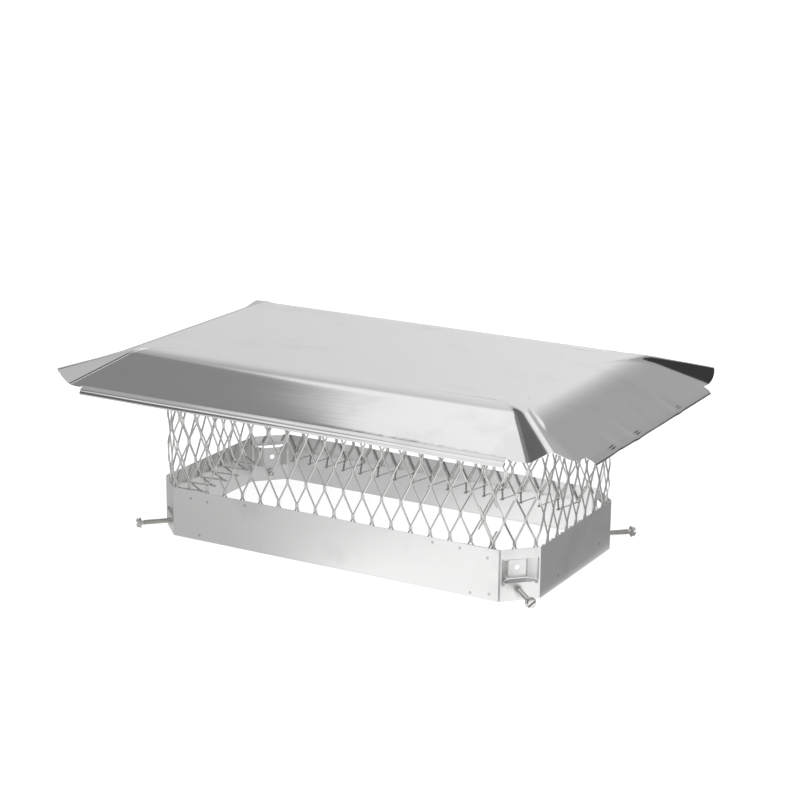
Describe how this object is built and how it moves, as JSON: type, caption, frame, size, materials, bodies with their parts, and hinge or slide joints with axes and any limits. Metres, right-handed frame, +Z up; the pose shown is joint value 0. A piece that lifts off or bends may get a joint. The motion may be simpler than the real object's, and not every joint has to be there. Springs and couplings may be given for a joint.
{
  "type": "chimney cap",
  "caption": "Rectangular chimney cap: creased hood over an expanded metal screen in a base band, clamped to a flue tile by corner screws.",
  "frame": {"origin": "middle of the base band on the plane of its bottom rim", "axes": "+X along the cap, +Y across it, +Z up"},
  "size_m": [0.643, 0.426, 0.2141],
  "materials": {
    "band_steel": "mill brushed stainless sheet",
    "screen_steel": "bright expanded stainless",
    "hood_steel": "fine brushed stainless sheet",
    "screw_steel": "bright plated steel"
  },
  "bodies": {
    "cap": {"base_band": "band_steel", "mesh_screen": "screen_steel", "hood": "hood_steel"},
    "screw_front_right": {"clamp_screw_front_right": "screw_steel"},
    "screw_back_right": {"clamp_screw_back_right": "screw_steel"},
    "screw_back_left": {"clamp_screw_back_left": "screw_steel"},
    "screw_front_left": {"clamp_screw_front_left": "screw_steel"}
  },
  "joints": [
    {"name": "screw_travel_front_right", "type": "slide", "parent": "cap", "child": "screw_front_right", "axis": [-0.7071, 0.7071, 0], "range_m": [-0.003, 0.0325]},
    {"name": "screw_travel_back_right", "type": "slide", "parent": "cap", "child": "screw_back_right", "axis": [-0.7071, -0.7071, 0], "range_m": [-0.003, 0.0325]},
    {"name": "screw_travel_back_left", "type": "slide", "parent": "cap", "child": "screw_back_left", "axis": [0.7071, -0.7071, 0], "range_m": [-0.003, 0.0325]},
    {"name": "screw_travel_front_left", "type": "slide", "parent": "cap", "child": "screw_front_left", "axis": [0.7071, 0.7071, 0], "range_m": [-0.003, 0.0325]}
  ]
}
